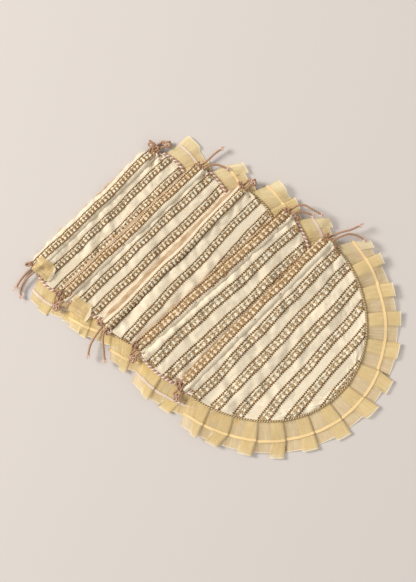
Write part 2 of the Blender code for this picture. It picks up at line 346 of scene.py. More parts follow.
class Lay:
    def __init__(self, name):
        self.name = name
        casing = self.corners("back_casing")
        middle = casing.mean(axis=0)
        left = casing[casing[:, 0] < middle[0]].mean(axis=0)
        right = casing[casing[:, 0] > middle[0]].mean(axis=0)
        self.along = Vector((right - left)[:2]).normalized()
        self.up = Vector((-self.along.y, self.along.x))
        heights = casing[:, :2] @ np.array(self.up)
        self.mouthHalf = (right - left)[0] / self.along.x / 2
        self.casingDepth = float(heights.max() - heights.min())
        self.casingHigh = float(np.ptp(casing[:, 2]))
        self.mouthZ = float(casing[:, 2].min())
        self.frontZ = float(self.corners("front_casing")[:, 2].min())
        self.seed = self.mouthHalf * 900  # so that no two pouches crumple alike
        self.puckers = None
        centre = Vector(((left + right) / 2)[:2])
        self.origin = centre + self.up * (heights.max() - centre.dot(self.up))
        self.readOutline()
        self.readFrill()

    def corners(self, part):
        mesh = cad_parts[self.name + "_" + part].data
        found = np.empty(len(mesh.vertices) * 3, dtype=np.float32)
        mesh.vertices.foreach_get("co", found)
        return found.reshape(-1, 3).astype(float)

    def local(self, corners):
        flat = corners[:, :2] - np.array(self.origin)
        return flat @ np.array(self.along), -(flat @ np.array(self.up))

    def readOutline(self):
        across, down = self.local(self.corners("back_panel"))
        order = np.argsort(down)
        across, down = across[order], down[order]
        rungs = np.split(np.arange(len(down)), np.where(np.diff(down) > 0.05 * mm)[0] + 1)
        rungDowns = np.array([down[rung].mean() for rung in rungs])
        self.depth = rungDowns[-1] / math.sin(layering["panelEnd"])
        angles = np.arcsin(rungDowns / self.depth)
        halves = np.array([np.ptp(across[rung]) / 2 for rung in rungs])
        middles = np.array([(across[rung].max() + across[rung].min()) / 2 for rung in rungs])
        self.lean = float((middles[-1] - middles[0]) / (rungDowns[-1] - rungDowns[0]))
        self.angles = np.append(angles, math.pi / 2)
        self.halves = np.append(halves, 0.0)

    def readFrill(self):
        across, down = self.local(self.corners("frill"))
        seams = [self.seam(angle)[0] for angle in np.linspace(0.1, math.pi - 0.1, 60)]
        self.reach = (min(seams) - across.min(), down.max() - self.depth, across.max() - max(seams))
        self.frillEnd = float(self.corners("frill")[:, 1].min())

    def locate(self, point):
        offset = point.xy - self.origin
        return offset.dot(self.along), -offset.dot(self.up)

    def halfWidth(self, down):
        angle = math.asin(min(1.0, max(0.0, down / self.depth)))
        return float(np.interp(angle, self.angles, self.halves))

    def seam(self, angle, out=0.0):
        # (across, down) on the seam: angle 0 is the right corner and pi the left one
        def onSeam(at):
            down = self.depth * math.sin(at)
            side = 1.0 if math.cos(at) >= 0.0 else -1.0
            return Vector((side * self.halfWidth(down) + self.lean * down, down))

        along = (onSeam(angle + 0.06) - onSeam(angle - 0.06)).normalized()
        return onSeam(angle) + Vector((along.y, -along.x)) * out

    def seamTable(self, startDown):
        first = math.asin(startDown / self.depth)
        angles = np.linspace(math.pi - first, first, 500)
        points = [self.seam(angle) for angle in angles]
        return runningLength(points), angles

    def frillOut(self, angle, share):
        side = self.reach[2] if math.cos(angle) >= 0.0 else self.reach[0]
        reach = side + (self.reach[1] - side) * max(0.0, math.sin(angle))
        return share * reach

    def flat(self, across, down):
        return self.origin + self.along * across - self.up * down

    def base(self, across, down):
        # height of the pouch's underside
        worldY = self.flat(across, down).y
        lying = 0.0
        for lower in lays[: pouchNames.index(self.name)]:
            past = lower.frillEnd - layering["gap"] - worldY
            lying += layering["layer"] * (1.0 - ease(past / layering["drop"]))
        level = 1.0 - ease((down - self.casingDepth - layering["gap"]) / layering["casingDrop"])
        return mix(lying, self.mouthZ, level)

    def point(self, across, down, z):
        place = self.flat(across, down)
        return Vector((place.x, place.y, z))


lays = []
for pouchName in pouchNames:
    lays.append(Lay(pouchName))
print("read", len(lays), "pouches from the frame")


# Drawcords

cordFacts = {
    "radius": 1.1 * mm,
    "strandA": 6.3 * mm,
    "strandB": 11.0 * mm,
    "loopSwell": 1.6 * mm,
    "inside": 12 * mm,  # how much of a loose end's piece lies in the casing
    "lieOnFrill": 4.0 * mm,
    "pointGap": 0.9 * mm,
    "knot": 0.62 * mm,
    "knotOut": 1.2 * mm,
    "frays": 5,
    "frayOut": 2.2 * mm,
    "frayLong": 2.4 * mm,
    "frayThick": 0.16 * mm,
}

# knots on a loop: share of the way from its legs to its tip, share of its drop,
# then size and thickness in millimetres
loopKnots = [(0.5, 0.3, 0.75, 0.85, "cord"), (0.9, 0.7, 0.75, 0.8, "cord"), (0.7, 0.5, 0.9, 0.42, "cordTip")]

# each loop's straight legs, its reach past the corner and how far it sinks, in millimetres
loopShapes = {
    "pouch_1": (8.5, 16.5, 5.5),
    "pouch_2": (6.6, 13.0, 3.6),
    "pouch_3": (7.0, 13.4, 3.2),
    "pouch_4": (6.6, 13.0, 4.0),
    "pouch_5": (6.6, 12.8, 3.4),
}

# routes of the two loose ends: (out from the corner, down from the mouth), in millimetres
cordEnds = {
    "pouch_1": (
        -1,
        [(4, 6.3), (12, 6.4), (19.5, 7.6), (26, 9.4)],
        [(4, 11.0), (12, 10.6), (19.5, 11.8), (25, 14.2), (29, 18.0)],
    ),
    "pouch_2": (
        1,
        [(4, 6.3), (11, 6.8), (19, 6.8), (26.5, 7.8)],
        [(4, 11.2), (9, 13.0), (14.0, 17.5), (17.5, 25.0)],
    ),
    "pouch_3": (
        -1,
        [(4, 6.6), (14, 8.2), (23, 11.0), (31, 16.0)],
        [(4, 11.4), (10, 16.0), (17.0, 24.0), (22.8, 31.0)],
    ),
    "pouch_4": (
        1,
        [(4, 6.4), (11.5, 8.0), (16.5, 12.5), (18.5, 19.0), (22, 29.0)],
        [(4, 11.4), (8.5, 14.0), (12.0, 18.5), (15.0, 24.0)],
    ),
    "pouch_5": (
        1,
        [(4, 7.0), (11, 9.8), (17.5, 13.2), (22, 16.0), (31, 19.5)],
        [(4, 11.6), (11, 14.2), (17.5, 17.5), (22, 23.5), (24.5, 31.5)],
    ),
}


def satinCordLook():
    # twisted satin: fine spiral plies with a soft shine
    shade = Shader("copperSatinCord")
    around, along = shade.cloth()
    plies = ((around * 1.0 + along * 1.3) * 2.9).maths("SINE") * 0.5 + 0.5
    # the cord is paler in random spots
    paleSpots = shade.spots(around, along, 0.35)
    # painted shade: darker in the grooves between the plies, lighter on the plies
    deep = shade.colours(plies, (0.17, 0.075, 0.034), (0.46, 0.24, 0.12))
    colour = shade.colours(paleSpots * 0.75, deep, (0.62, 0.38, 0.23))
    normal = shade.bump(plies, 0.00025, 0.8)
    return shade.finish(colour, 0.38, normal, Sheen_Weight=0.25, Sheen_Roughness=0.4)


def cordTipLook():
    shade = Shader("paleCordEnd")
    around, along = shade.cloth()
    fuzz = shade.spots(around, along, 1.6, 4.0)
    stops = [(0.3, (0.52, 0.27, 0.19)), (0.55, (0.80, 0.60, 0.50)), (0.8, (0.90, 0.78, 0.70))]
    colour = shade.ramp(fuzz, stops)
    return shade.finish(colour, 0.6, shade.bump(fuzz, 0.0003), Sheen_Weight=0.3)


def knotLine(middle, along, size):
    # a small overhand knot, lying flat round the cord
    turned = along.to_track_quat("X", "Z").to_matrix()
    line = []
    for t in np.linspace(0.0, math.tau, 49):
        flat = Vector((math.sin(t) + 2 * math.sin(2 * t), math.cos(t) - 2 * math.cos(2 * t), 0.0))
        line.append(middle + turned @ (flat * size + Vector((0, 0, -math.sin(3 * t) * size * 0.75))))
    return line


def looseEnd(lay, pull, route, strandDown, leaveZ):
    # from inside the casing, out at the corner and down onto the frills
    points = []
    for out in (-cordFacts["inside"], -cordFacts["inside"] / 2, 0.0):
        points.append(lay.point(pull * (lay.mouthHalf + out), strandDown, leaveZ))
    for place, (out, down) in enumerate(route):
        across = pull * (lay.mouthHalf + out * mm)
        lying = lay.base(across, down * mm) + cordFacts["lieOnFrill"]
        fallen = ease(place / (len(route) - 1))
        points.append(lay.point(across, down * mm, mix(leaveZ, lying, fallen)))
    return evenPoints(smoothLine(points), cordFacts["pointGap"])


def cordLoop(lay, pull, lowZ, highZ):
    far = -pull * lay.mouthHalf
    straight, reach, drop = (size * mm for size in loopShapes[lay.name])
    leg = far - pull * straight
    turn = far - pull * (straight + reach) / 2
    tip = far - pull * reach
    a, b, swell = cordFacts["strandA"], cordFacts["strandB"], cordFacts["loopSwell"]
    start = far + pull * cordFacts["inside"]
    route = [(start, a, lowZ), (far, a, lowZ), (leg, a, lowZ)]
    route += [(turn, a - swell + 0.4 * drop, mix(lowZ, highZ, 0.2))]
    route += [(tip, (a + b) / 2 + drop, (lowZ + highZ) / 2)]
    route += [(turn, b + swell + 0.4 * drop, mix(lowZ, highZ, 0.8))]
    route += [(leg, b, highZ), (far, b, highZ), (start, b, highZ)]
    return evenPoints(smoothLine([lay.point(*place) for place in route]), cordFacts["pointGap"])


def addCordEnd(lay, pull, letter, route, strandDown, leaveZ):
    body = lay.name + "_cord"
    line = looseEnd(lay, pull, route, strandDown, leaveZ)
    end = tubePiece(lay.name + "_cordEnd" + letter.upper(), line, cordFacts["radius"], looks["cord"], 10)
    settle(end, body, "copper_cord", lay.name + "_drawcord")
    direction = (line[-1] - line[-3]).normalized()
    knot = knotLine(line[-1] + direction * cordFacts["knotOut"], direction, cordFacts["knot"])
    tip = tubePiece(lay.name + "_cordTip" + letter.upper(), knot, cordFacts["knot"], looks["cordTip"])
    settle(tip, body, "cord_tip", lay.name + "_cord_tip_" + letter)
    for strand in range(cordFacts["frays"]):
        addFrayedThread(lay, body, line[-1] + direction * cordFacts["frayOut"], direction, letter, strand)
    exitPoint = lay.point(pull * lay.mouthHalf, strandDown, leaveZ)
    length = runningLength(line)[-1]


def addFrayedThread(lay, body, start, direction, letter, strand):
    chance = random.Random(lay.name + letter + str(strand))
    spread = Vector((chance.uniform(-1, 1), chance.uniform(-1, 1), chance.uniform(-0.2, 0.5)))
    bends = [direction * t + spread * t * t * 0.5 for t in np.linspace(0, 1, 5)]
    line = [start + bend * cordFacts["frayLong"] for bend in bends]
    name = lay.name + "_frayedThread" + letter.upper() + str(strand)
    settle(tubePiece(name, line, cordFacts["frayThick"], looks["cordTip"], 5), body, "cord_tip")


def knotsOnLoop(lay, pull, lowZ, highZ):
    # the loop is gathered up by two knots, with a pale thread wound between them
    middleDown = (cordFacts["strandA"] + cordFacts["strandB"]) / 2
    straight, reach, drop = loopShapes[lay.name]
    pieces = []
    for place, (along, sunk, size, thick, look) in enumerate(loopKnots):
        out = lay.mouthHalf + (mix(straight, reach, along) - 0.3) * mm
        z = (lowZ + highZ) / 2 + place * 0.5 * mm
        middle = lay.point(-pull * out, middleDown + sunk * drop * mm, z)
        turned = Vector((*lay.along, 0.0)) * pull - Vector((*lay.up, 0.0)) * (0.4 + place * 0.7)
        line = knotLine(middle, turned.normalized(), size * mm)
        pieces.append(tubePiece(f"{lay.name}_loopKnot{place}", line, thick * mm, looks[look]))
    return pieces


def addCord(lay):
    pull, routeA, routeB = cordEnds[lay.name]
    a, b, radius = cordFacts["strandA"], cordFacts["strandB"], cordFacts["radius"]
    lowZ = lay.mouthZ + lay.casingHigh / 2
    highZ = lay.frontZ + lay.casingHigh / 2
    addCordEnd(lay, pull, "a", routeA, a, lowZ)
    addCordEnd(lay, pull, "b", routeB, b, highZ)
    line = cordLoop(lay, pull, lowZ, highZ)
    loop = tubePiece(lay.name + "_cordLoop", line, radius, looks["cord"], 10)
    exitPoint = lay.point(-pull * lay.mouthHalf, a, lowZ)
    facts = {"length": runningLength(line)[-1], "diameter": 2 * radius, "far_end": "object"}
    pieces = [loop]
    for letter, strandDown, z in (("A", a, lowZ), ("B", b, highZ)):
        ends = [side * (lay.mouthHalf - cordFacts["inside"]) for side in (-1, 1)]
        line = evenPoints([lay.point(across, strandDown, z) for across in ends], 6 * mm)
        pieces.append(tubePiece(lay.name + "_cordRun" + letter, line, radius, looks["cord"]))
    for piece in pieces + knotsOnLoop(lay, pull, lowZ, highZ):
        settle(piece, lay.name + "_cord", "copper_cord", lay.name + "_drawcord")


# Striped cloth: plain cream bands between lattice bands edged with beaded stitch lines

# in millimetres down from the mouth: the first stitch line, how wide a lattice band is and when the
# next begins, how deep the hem, its brown edge band and the copper ground reach; fan is how much the
# stripes close up towards the right over each 100 mm, and pink is how strong the hem's tint is
stripes = {
    "pouch_1": {
        "firstLine": 3.6, "bandWide": 6.9, "repeat": 16.4, "fan": 0.0,
        "hem": 3.2, "pink": 0.25, "edge": 0.0, "copper": 8.4,
    },
    "pouch_2": {
        "firstLine": 2.0, "bandWide": 7.4, "repeat": 16.4, "fan": -0.03,
        "hem": 1.6, "pink": 0.6, "edge": 1.2, "copper": 10.0,
    },
    "pouch_3": {
        "firstLine": 6.8, "bandWide": 7.4, "repeat": 18.6, "fan": -0.1,
        "hem": 6.4, "pink": 0.65, "edge": 3.8, "copper": -9.0,
    },
    "pouch_4": {
        "firstLine": 1.0, "bandWide": 8.8, "repeat": 19.7, "fan": -0.05,
        "hem": 1.0, "pink": 0.7, "edge": 0.9, "copper": 10.5,
    },
    "pouch_5": {
        "firstLine": -1.1, "bandWide": 8.8, "repeat": 19.8, "fan": -0.073,
        "hem": 1.2, "pink": 0.6, "edge": 1.5, "copper": 8.5,
    },
}

clothTints = {
    "cream": (0.98, 0.885, 0.70),
    "creamShade": (0.87, 0.745, 0.545),
    "pinkHem": (0.86, 0.71, 0.52),
    "edge": (0.42, 0.26, 0.135),
    "lattice": (0.55, 0.345, 0.115),
    "latticeDark": (0.19, 0.09, 0.018),
    "stitch": (0.25, 0.125, 0.035),
    "copper": (0.29, 0.16, 0.055),
}


def wander(lay, across, down):
    # how far the hand-guided stripes stray from straight
    slow = rough(across / 0.042, down / 0.030, lay.seed + 2)
    quick = rough(across / 0.013, down / 0.016, lay.seed + 5)
    return (slow * 2.125 + quick * 0.625) * mm


def stripeDown(lay, across, down):
    # how far down in a stripe's own count a point lies: the stripes fan out towards the left
    spread = 1.0 + stripes[lay.name]["fan"] * across / 0.1
    return down / spread - wander(lay, across, down)


def realDown(lay, across, count):
    spread = 1.0 + stripes[lay.name]["fan"] * across / 0.1
    down = count * spread
    for _ in range(2):
        down = (count + wander(lay, across, down)) * spread
    return down


# how the lattice bands and the plain weave are drawn, as shares of a band or in millimetres
weaving = {
    "lineHalf": 0.6,
    "middleAt": 0.44,
    "middleHalf": 0.3,
    "columnPitch": 0.61,
    "columnGap": 0.6,
    "lowerFrom": 0.47,
    "slant": 0.9,
    "slantTurns": 2.3,
    "threadTurns": 12.6,
}


def stripedClothLook(name):
    style = stripes[name]
    shade = Shader(name + "StripedCloth")
    across, down = shade.cloth()
    band = style["bandWide"]
    count = (down - style["firstLine"]) / style["repeat"]
    inRepeat = count.maths("FRACT") * style["repeat"]
    lattice = inRepeat < band
    fromEdge = (inRepeat - band / 2).maths("ABSOLUTE")
    line = (fromEdge - band / 2).maths("ABSOLUTE") < weaving["lineHalf"]
    middleLine = (inRepeat - band * weaving["middleAt"]).maths("ABSOLUTE") < weaving["middleHalf"]
    column = (across / (band * weaving["columnPitch"])).maths("FRACT")
    lowerRow = inRepeat > band * weaving["lowerFrom"]
    ragged = shade.spots(across * 1.1, down, 0.35, 3.0)
    oneWay = ((across + down * weaving["slant"]) * weaving["slantTurns"]).maths("SINE") > 0.62
    otherWay = ((across - down * weaving["slant"]) * weaving["slantTurns"]).maths("SINE") > 0.62
    crossing = oneWay.maths("MAXIMUM", otherWay) * (ragged > 0.42)
    gapDark = ((column > weaving["columnGap"]) * lowerRow).maths("MAXIMUM", crossing) * lattice
    threads = (across * weaving["threadTurns"]).maths("SINE") * 0.5 + 0.5
    picks = (down * weaving["threadTurns"]).maths("SINE") * 0.5 + 0.5
    weave = threads.maths("MAXIMUM", picks)
    mottle = shade.spots(across * 0.35, down, 0.22, 3.0)
    slubs = shade.spots(across * 0.12, down * 1.6, 0.9, 2.0)
    cream = shade.colours(mottle, clothTints["creamShade"], clothTints["cream"])
    cream = shade.colours((slubs > 0.63) * 0.18, cream, clothTints["lattice"])
    cream = shade.colours((down < style["hem"]) * style["pink"], cream, clothTints["pinkHem"])
    # the brown band along the top edge is patchy, following the mottle
    edgeMottle = (mottle * 1.6 - 0.05).maths("MINIMUM", 0.95)
    cream = shade.colours((down < style["edge"]) * edgeMottle, cream, clothTints["edge"])
    ground = shade.colours(mottle, clothTints["lattice"], clothTints["creamShade"])
    ground = shade.colours((down < style["copper"]) * 0.6, ground, clothTints["copper"])
    ground = shade.colours(gapDark * 0.85, ground, clothTints["latticeDark"])
    ground = shade.colours(middleLine * 0.55, ground, clothTints["latticeDark"])
    colour = shade.colours(lattice, cream, ground)
    colour = shade.colours(line * 0.35, colour, clothTints["stitch"])
    # painted shade between the threads, darker where the weave dips
    colour = shade.colours((1 - weave) * 0.16, colour, clothTints["lattice"])
    normal = shade.bump(weave * 0.5 + mottle * 0.7, 0.0004, 0.55)
    return shade.finish(colour, 0.86, normal, Sheen_Weight=0.04, Specular_IOR_Level=0.15)


def threadLook(name, dark, light, sheen):
    # stitched or floating yarn: painted a little lighter where it stands up and darker in its hollows, as
    # painted light and shade
    shade = Shader(name)
    across, down = shade.cloth()
    fibres = shade.spots(across * 0.5, down * 3.0, 1.4, 3.0)
    plies = ((across * 0.5 + down * 1.6) * 6.0).maths("SINE") * 0.5 + 0.5
    height = fibres * 0.6 + plies * 0.4
    colour = shade.colours(height, dark, light)
    normal = shade.bump(height, 0.0003, 0.7)
    return shade.finish(colour, 0.7, normal, Sheen_Weight=sheen, Specular_IOR_Level=0.25)


# how much the panels crumple: the heights of the parts, and the most that they reach together
pucker = {
    "broad": 1.3 * mm,
    "fine": 0.75 * mm,
    "crease": 0.7 * mm,
    "seamCrease": 1.3 * mm,
    "folds": 1.1,
    "fade": 6 * mm,
    "simulated": 1.5 * mm,
    "highest": 2.2 * mm,
    "lowest": -1.15 * mm,
}

# the sheet that is simulated: its points down and across, the steps, and how it stretches and bends
fabricGrid = {"rows": 34, "columns": 56, "steps": 18}
fabricSettings = {
    "quality": 6,
    "mass": 0.12,
    "tension_stiffness": 18.0,
    "compression_stiffness": 12.0,
    "bending_stiffness": 0.02,
    "shrink_min": -0.035,
}


def simulatedPuckers(lay):
    # the panel's cloth is a little too large for its seam, so it buckles inside the outline
    rows, columns, steps = fabricGrid.values()
    angles = np.linspace(math.asin(lay.casingDepth / lay.depth), math.radians(86), rows)
    points = []
    for angle in angles:
        down = lay.depth * math.sin(angle)
        for share in np.linspace(-1.0, 1.0, columns):
            across = share * lay.halfWidth(down) + lay.lean * down
            points.append((across, -down, rough(across / 0.011, down / 0.017, lay.seed) * 0.5 * mm))
    flat = [point[:2] for point in points]
    sheet = meshPiece(lay.name + "Puckers", points, gridFaces(rows, columns), looks["plain"], flat)
    pins = sheet.vertex_groups.new(name="seam")
    edge = [i for i in range(len(points)) if i % columns in (0, columns - 1)]
    edge += [i for i in range(len(points)) if i < columns or i >= len(points) - columns]
    pins.add(edge, 1.0, "REPLACE")
    fabric = sheet.modifiers.new("fabric", "CLOTH")
    fabric.settings.vertex_group_mass = "seam"
    for setting, value in fabricSettings.items():
        setattr(fabric.settings, setting, value)
    fabric.settings.effector_weights.gravity = 0.0
    fabric.collision_settings.use_collision = False
    fabric.point_cache.frame_start = 1
    fabric.point_cache.frame_end = steps
    scene = bpy.context.scene
    for step in range(steps):
        scene.frame_set(step + 1)
    graph = bpy.context.evaluated_depsgraph_get()
    shaped = sheet.evaluated_get(graph).to_mesh()
    heights = np.array([vertex.co.z for vertex in shaped.vertices]).reshape(rows, columns)
    sheet.evaluated_get(graph).to_mesh_clear()
    bpy.data.objects.remove(sheet, do_unlink=True)
    scene.frame_set(1)
    return angles, np.clip(heights, -pucker["simulated"], pucker["simulated"])


def billow(lay, across, down):
    # plain bands puff up between their stitched edges, with short folds across them
    style = stripes[lay.name]
    count = (stripeDown(lay, across, down) / mm - style["firstLine"]) / style["repeat"]
    place = (count - math.floor(count)) * style["repeat"]
    if place < style["bandWide"]:
        return -0.1 * mm
    swell = math.sin(math.pi * (place - style["bandWide"]) / (style["repeat"] - style["bandWide"]))
    slant = across + (place - 12.0) * 0.35 * mm
    folds = rough(slant / 0.0075, math.floor(count) * 3.7, lay.mouthHalf * 200)
    slow = rough(slant / 0.022, math.floor(count) * 5.1, lay.mouthHalf * 150)
    return swell * (0.35 + pucker["folds"] * folds + 0.8 * slow) * mm


def seamCrease(lay, share, down, toSeam):
    # short creases that run in from the gathered seam
    around = math.atan2(down / lay.depth, share) * 0.11
    fold = rough(around / 0.0085, toSeam / 0.035, lay.seed + 17)
    reach = math.exp(-((toSeam / (17 * mm)) ** 2))
    return -ease(1.0 - abs(fold) * 4.5) * pucker["seamCrease"] * reach


def simulatedHeight(lay, share, down):
    # read from the simulated sheet, between its four nearest points
    angles, heights = lay.puckers
    row = np.interp(math.asin(min(1.0, down / lay.depth)), angles, range(len(angles)))
    column = (share + 1) / 2 * (heights.shape[1] - 1)
    r0 = min(int(row), heights.shape[0] - 2)
    c0 = min(max(int(column), 0), heights.shape[1] - 2)
    near = mix(heights[r0, c0], heights[r0, c0 + 1], column - c0)
    return mix(near, mix(heights[r0 + 1, c0], heights[r0 + 1, c0 + 1], column - c0), row - r0)


def puckerHeight(lay, across, down):
    half = max(lay.halfWidth(down), 0.1 * mm)
    share = (across - lay.lean * down) / half
    toSeam = min(half * (1.0 - abs(share)), lay.depth - down)
    broad = rough(across / 0.019, down / 0.024, lay.seed)
    fine = rough(across / 0.0062, down / 0.0125, lay.seed + 7)
    tilt = across + 0.6 * down
    crease = abs(rough(tilt / 0.017, (down - 0.5 * across) / 0.028, lay.seed + 11))
    height = broad * pucker["broad"] + fine * pucker["fine"] - ease(1.0 - crease * 9.0) * pucker["crease"]
    height += billow(lay, across, down) + seamCrease(lay, share, down, toSeam)
    if lay.puckers:
        height = height * 0.55 + simulatedHeight(lay, share, down)
    height = min(pucker["highest"], max(pucker["lowest"], height))
    return height * ease(toSeam / pucker["fade"]) * openShare(lay, across, down)


def openShare(lay, across, down):
    # 1 where the pouch is open to view, less where the next pouch lies on it
    if lay is lays[-1]:
        return 1.0
    following = lays[lays.index(lay) + 1]
    offset = lay.flat(across, down) - following.origin
    under = -offset.dot(following.up)
    return 1.0 - 0.8 * ease((under + 3 * mm) / (6 * mm))


# a casing's top swells over the cord tunnel and its underside lies flatter: (share of depth, height)
casingSwell = [(0.0, 0.9), (0.08, 1.4), (0.24, 1.8), (0.36, 2.6)]
casingSwell += [(0.55, 3.1), (0.8, 3.1), (0.92, 2.2), (1.0, 1.5)]
casingUnder = [(0.0, 0.7), (0.08, 0.4), (0.24, 0.25), (0.5, 0.05), (0.88, 0.2), (1.0, 0.6)]

cornerDroop = 3.4 * mm  # how far the drawn-in corners of a mouth sink below its middle

# how strongly the drawcord gathers each mouth
mouthGather = {"pouch_1": 2.0, "pouch_2": 1.0, "pouch_3": 0.8, "pouch_4": 1.4, "pouch_5": 1.1}

# pouch 4's front panel has one long fold under its mouth
longFold = {"down": 17.5 * mm, "slope": 0.03, "half": 3.2 * mm, "high": 1.5 * mm}


def profile(table, share):
    return float(np.interp(share, [row[0] for row in table], [row[1] for row in table])) * mm


def gathers(lay, across, down):
    # short upright pleats that the drawcord makes in the mouth
    seed = lay.mouthHalf * 700
    wave = rough(across / 0.0046, down / 0.020, seed)
    knots = rough(across / 0.011, down / 0.009, seed + 3)
    return (wave * 0.75 + knots * 0.6) * mm * mouthGather[lay.name]


def cornerCreases(lay, across, down):
    # creases running out from each tied corner
    height = 0.0
    for side in (-1.0, 1.0):
        x = side * (lay.mouthHalf + 2 * mm) - across
        y = down - 8 * mm
        apart = math.hypot(x, y)
        if apart < 40 * mm:
            angle = math.atan2(y, abs(x) + 1 * mm)
            fan = math.sin(8.0 * angle + lay.seed + side)
            height += fan * 1.5 * mm * ease(apart / (6 * mm)) * math.exp(-((apart / (15 * mm)) ** 2))
    return height * mouthGather[lay.name] * openShare(lay, across, down)


def frontHeight(lay, across, down):
    # height of the cloth's top surface, on the casing and then on the panel
    sunk = -0.8 * mm  # no crease goes deeper
    if down < lay.casingDepth:
        swell = profile(casingSwell, down / lay.casingDepth) + 0.25 * mm
        crease = cornerCreases(lay, across, down) * 0.6 * ease(down / lay.casingDepth)
        return lay.frontZ + swell + gathers(lay, across, down) + max(sunk, crease)
    past = (down - lay.casingDepth) / layering["casingDrop"]
    rise = mix(4.9 * mm, 2.15 * mm, ease(past))
    height = lay.base(across, down) + rise + puckerHeight(lay, across, down)
    height += max(sunk, cornerCreases(lay, across, down))
    height += gathers(lay, across, down) * (1.0 - ease(past * 1.6)) * openShare(lay, across, down)
    if lay.name == "pouch_4":
        middle = longFold["down"] + longFold["slope"] * max(0.0, across)
        ridge = math.exp(-(((down - middle) / longFold["half"]) ** 2))
        height += longFold["high"] * ridge * ease((0.03 - across) / 0.04)
    return height


def clothGrid(lay, firstDown, rows, columns, heightAt):
    first = math.asin(firstDown / lay.depth)
    points = []
    cloth = []
    for angle in np.linspace(first, math.radians(88.5), rows):
        down = lay.depth * math.sin(angle)
        half = lay.halfWidth(down)
        for share in np.linspace(-1.0, 1.0, columns):
            across = share * half + lay.lean * down
            points.append(lay.point(across, down, heightAt(across, down)))
            cloth.append((across, stripeDown(lay, across, down)))
    return points, gridFaces(rows, columns), cloth


def solidify(piece, thickness, offset):
    solid = piece.modifiers.new("thickness", "SOLIDIFY")
    solid.thickness = thickness
    solid.offset = offset


def flatArea(lay, firstDown):
    # strips between the mouth and the bottom, each as wide as the outline there
    strips = 79
    widths = [2 * lay.halfWidth(down) for down in np.linspace(firstDown, lay.depth, strips + 1)]
    return (sum(widths) - (widths[0] + widths[-1]) / 2) * (lay.depth - firstDown) / strips


def addPanels(lay):
    first = lay.casingDepth - 1.2 * mm
    clothHere = looks[lay.name + "Cloth"]

    def frontAt(across, down):
        return frontHeight(lay, across, max(down, lay.casingDepth + 0.01 * mm)) - 0.1 * mm

    def backAt(across, down):
        return lay.base(across, down) + 0.1 * mm + 0.3 * abs(puckerHeight(lay, across, down))

    points, faces, cloth = clothGrid(lay, first, 96, 150, frontAt)
    front = meshPiece(lay.name + "_frontPanel", points, faces, clothHere, cloth)
    solidify(front, 0.5 * mm, 1.0)
    points, faces, cloth = clothGrid(lay, lay.casingDepth - 0.8 * mm, 40, 70, backAt)
    back = meshPiece(lay.name + "_backPanel", points, faces, clothHere, cloth)
    solidify(back, 0.5 * mm, -1.0)
    flat = (2 * lay.halfWidth(lay.casingDepth), lay.depth - first)
    area = min(flatArea(lay, first), flat[0] * flat[1])
    rest = "floor" if lay is lays[0] else lays[lays.index(lay) - 1].name + "_front_panel"
    for piece, node in ((front, "_front_panel"), (back, "_back_panel")):
        settle(piece, lay.name, "striped_cloth", lay.name + node)


def addCasing(lay, part, node, lowZ):
    topShares = [0.0, 0.04, 0.1, 0.2, 0.27, 0.34, 0.42, 0.5, 0.6, 0.7, 0.8, 0.88, 0.94, 1.0]
    underShares = [0.97, 0.85, 0.65, 0.45, 0.25, 0.1, 0.03]
    steps = 170
    lipDepth = 1.1 * mm * mouthGather[lay.name]
    points = []
    cloth = []
    for across in np.linspace(-lay.mouthHalf, lay.mouthHalf, steps):
        lip = rough(across / 0.006, 3.1, lay.mouthHalf * 500) * lipDepth
        lip += cornerDroop * (1.0 - ease((lay.mouthHalf - abs(across)) / (14 * mm)))
        for place, share in enumerate(topShares + underShares):
            down = share * lay.casingDepth + lip * (1.0 - share)
            if place >= len(topShares):
                z = lowZ + profile(casingUnder, share)
            elif part == "frontCasing":
                z = frontHeight(lay, across, share * lay.casingDepth * 0.999) - 0.3 * mm
            else:
                z = lowZ + profile(casingSwell, share) + gathers(lay, across, share * lay.casingDepth)
            points.append(lay.point(across, down, z))
            cloth.append((across, stripeDown(lay, across, down)))
    faces = gridFaces(steps, len(topShares + underShares), closed=True)
    piece = meshPiece(lay.name + "_" + part, points, faces, looks[lay.name + "Cloth"], cloth)
    solidify(piece, 0.35 * mm, 1.0)
    settle(piece, lay.name, "striped_cloth", lay.name + node)


def stripeCounts(lay):
    # (distance down in the stripe's count, True for a band's upper line)
    style = stripes[lay.name]
    deepest = (lay.depth / mm) * 1.12
    counts = []
    start = style["firstLine"]
    while start < deepest:
        counts.append((start, True))
        counts.append((start + style["bandWide"], False))
        start += style["repeat"]
    return counts


def surfaceFrame(lay, across, down):
    # a point on the cloth and its across, down and up directions
    z = frontHeight(lay, across, down)
    point = lay.point(across, down, z)
    step = 0.6 * mm
    aside = lay.point(across + step, down, frontHeight(lay, across + step, down)) - point
    below = lay.point(across, down + step, frontHeight(lay, across, down + step)) - point
    aside.normalize()
    below.normalize()
    return point, aside, below, below.cross(aside)


def rowPlaces(lay, count, pitch, inset):
    across = -0.13
    while across < 0.13:
        down = realDown(lay, across, count * mm)
        if 0.2 * mm < down < lay.depth - 0.5 * mm:
            half = min(lay.halfWidth(down), lay.mouthHalf if down < lay.casingDepth else 1.0)
            middle = lay.lean * down if down > lay.casingDepth else 0.0
            if abs(across - middle) < half - inset:
                yield surfaceFrame(lay, across, down)
        across += pitch


domeShape = [(0.0, 0.0, 1.0)]
for ringWide, ringHigh in ((0.7, 0.76), (1.0, -0.35)):
    for corner in range(8):
        angle = corner * math.tau / 8
        domeShape.append((ringWide * math.cos(angle), ringWide * math.sin(angle), ringHigh))
domeFaces = [(0, 1 + k, 1 + (k + 1) % 8) for k in range(8)]
domeFaces += [(1 + k, 9 + k, 9 + (k + 1) % 8, 1 + (k + 1) % 8) for k in range(8)]


